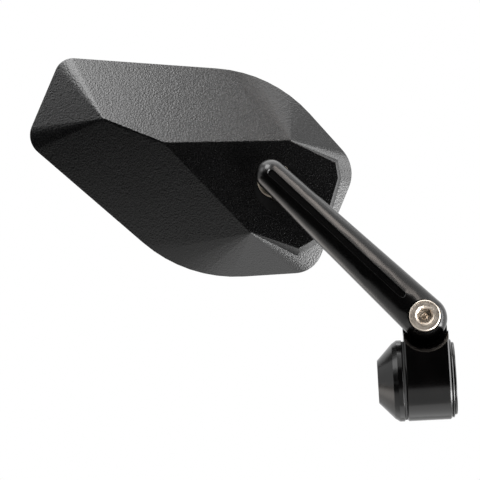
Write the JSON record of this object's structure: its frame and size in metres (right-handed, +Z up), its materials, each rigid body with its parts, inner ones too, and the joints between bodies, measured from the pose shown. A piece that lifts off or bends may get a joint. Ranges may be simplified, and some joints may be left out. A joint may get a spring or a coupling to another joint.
{
  "type": "bar end mirror",
  "caption": "Motorcycle bar end mirror: turned end weight and clamp ring, folding round arm, ball joint and faceted head with convex glass.",
  "frame": {"origin": "centre of the bar screw's bore, in the face that meets the end of the handlebar", "axes": "+X along the bore, towards the handlebar; +Z up; +Y towards the side of the mirror glass"},
  "size_m": [0.1821, 0.0538, 0.1708],
  "materials": {
    "black_anodised": "black anodised, satin gloss",
    "moulded_black": "fine-grained black moulding",
    "stainless": "bright turned stainless steel",
    "zinc_steel": "zinc-plated steel",
    "bronze": "plain sintered bronze",
    "plain_bush": "natural acetal",
    "black_acetal": "black acetal, smooth",
    "rubber": "black rubber",
    "mirror": "silvered convex glass"
  },
  "bodies": {
    "hub": {"end_weight": "black_anodised", "hub_bush": "plain_bush", "seal_ring": "rubber", "flange_ring": "black_anodised", "spacer_ring": "black_anodised"},
    "clamp": {"clamp_ring": "black_anodised", "pivot_bolt": "stainless", "spring_washer": "zinc_steel", "friction_washer": "bronze"},
    "arm": {"arm": "black_anodised", "ball_stud": "stainless"},
    "cap": {"rear_cap": "black_acetal"},
    "liner": {"front_liner": "black_acetal"},
    "head": {"housing": "moulded_black", "clamp_plate": "zinc_steel", "clamp_screw_1": "zinc_steel", "clamp_screw_2": "zinc_steel", "clamp_screw_3": "zinc_steel", "disc_springs_1": "zinc_steel", "disc_springs_2": "zinc_steel", "disc_springs_3": "zinc_steel", "backing_plate": "moulded_black", "plate_screw_1": "zinc_steel", "plate_screw_2": "zinc_steel", "plate_screw_3": "zinc_steel", "plate_screw_4": "zinc_steel", "foam_pad": "rubber", "mirror_glass": "mirror", "glass_seal": "rubber"}
  },
  "joints": [
    {"name": "bar_swivel", "type": "hinge", "parent": "hub", "child": "clamp", "pos_m": [-0.0117, 0, 0], "axis": [1, 0, 0], "continuous": true},
    {"name": "arm_fold", "type": "hinge", "parent": "clamp", "child": "arm", "pos_m": [-0.0117, -0.00925, 0.0249], "axis": [0, 1, 0], "range_deg": [-20, 105]},
    {"name": "head_pan", "type": "hinge", "parent": "arm", "child": "cap", "pos_m": [-0.07249, 0.0118, 0.08963], "axis": [0, 0, 1], "range_deg": [-15, 10]},
    {"name": "head_tilt", "type": "hinge", "parent": "cap", "child": "liner", "pos_m": [-0.07249, 0.0118, 0.08963], "axis": [0.9903, 0.1392, 0], "range_deg": [-17, 10]},
    {"name": "head_spin", "type": "hinge", "parent": "liner", "child": "head", "pos_m": [-0.07249, 0.0118, 0.08963], "axis": [0.1371, -0.9752, -0.1736], "range_deg": [-90, 90]}
  ]
}
